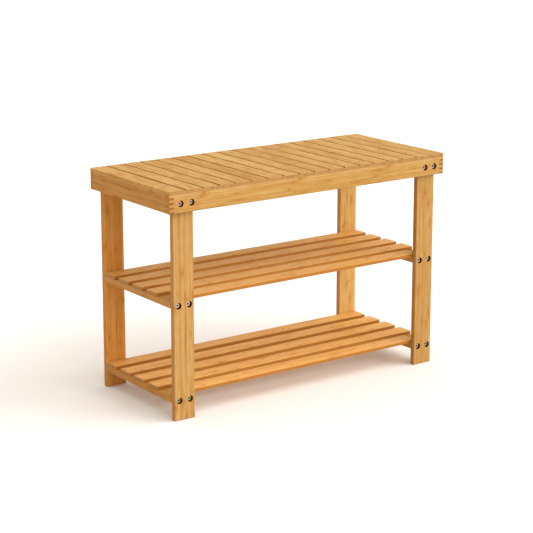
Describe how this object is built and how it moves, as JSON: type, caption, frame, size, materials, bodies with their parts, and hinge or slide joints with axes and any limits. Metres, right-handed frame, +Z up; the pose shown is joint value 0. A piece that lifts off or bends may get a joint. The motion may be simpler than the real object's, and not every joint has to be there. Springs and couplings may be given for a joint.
{
  "type": "entryway bench",
  "caption": "Slatted bamboo entryway bench: a finger-jointed seat frame on four flat legs, with two open slatted shoe shelves bolted between them.",
  "frame": {"origin": "on the floor, under the middle of the bench", "axes": "+X along the bench to the right, +Y from the front to the back, +Z up"},
  "size_m": [0.7, 0.3, 0.468],
  "materials": {
    "bamboo_seat": "side-pressed bamboo with satin clear lacquer",
    "bamboo_frame": "side-pressed bamboo with satin clear lacquer",
    "bamboo_legs": "laminated bamboo with satin clear lacquer",
    "bamboo_shelves": "laminated bamboo with satin clear lacquer",
    "copper_plated_steel": "copper-toned plating",
    "zinc_plated_steel": "yellow zinc plating"
  },
  "bodies": {
    "root": {"front_rail": "bamboo_frame", "back_rail": "bamboo_frame", "left_end_rail": "bamboo_frame", "right_end_rail": "bamboo_frame", "seat_slat_1": "bamboo_seat", "seat_slat_2": "bamboo_seat", "seat_slat_3": "bamboo_seat", "seat_slat_4": "bamboo_seat", "seat_slat_5": "bamboo_seat", "seat_slat_6": "bamboo_seat", "seat_slat_7": "bamboo_seat", "seat_slat_8": "bamboo_seat", "seat_slat_9": "bamboo_seat", "seat_slat_10": "bamboo_seat", "seat_slat_11": "bamboo_seat", "seat_slat_12": "bamboo_seat", "seat_slat_13": "bamboo_seat", "seat_slat_14": "bamboo_seat", "seat_slat_15": "bamboo_seat", "seat_slat_16": "bamboo_seat", "seat_slat_17": "bamboo_seat", "seat_slat_18": "bamboo_seat", "front_batten": "bamboo_frame", "back_batten": "bamboo_frame", "front_left_leg": "bamboo_legs", "front_right_leg": "bamboo_legs", "back_left_leg": "bamboo_legs", "back_right_leg": "bamboo_legs", "middle_left_cross_rail": "bamboo_legs", "middle_right_cross_rail": "bamboo_legs", "lower_left_cross_rail": "bamboo_legs", "lower_right_cross_rail": "bamboo_legs", "middle_slat_1": "bamboo_shelves", "middle_slat_2": "bamboo_shelves", "middle_slat_3": "bamboo_shelves", "middle_slat_4": "bamboo_shelves", "middle_slat_5": "bamboo_shelves", "lower_slat_1": "bamboo_shelves", "lower_slat_2": "bamboo_shelves", "lower_slat_3": "bamboo_shelves", "lower_slat_4": "bamboo_shelves", "lower_slat_5": "bamboo_shelves", "seat_bolts": "copper_plated_steel", "insert_nuts": "zinc_plated_steel", "shelf_bolts": "zinc_plated_steel", "barrel_nuts": "zinc_plated_steel", "seat_screws": "zinc_plated_steel", "shelf_screws": "zinc_plated_steel"}
  },
  "joints": []
}
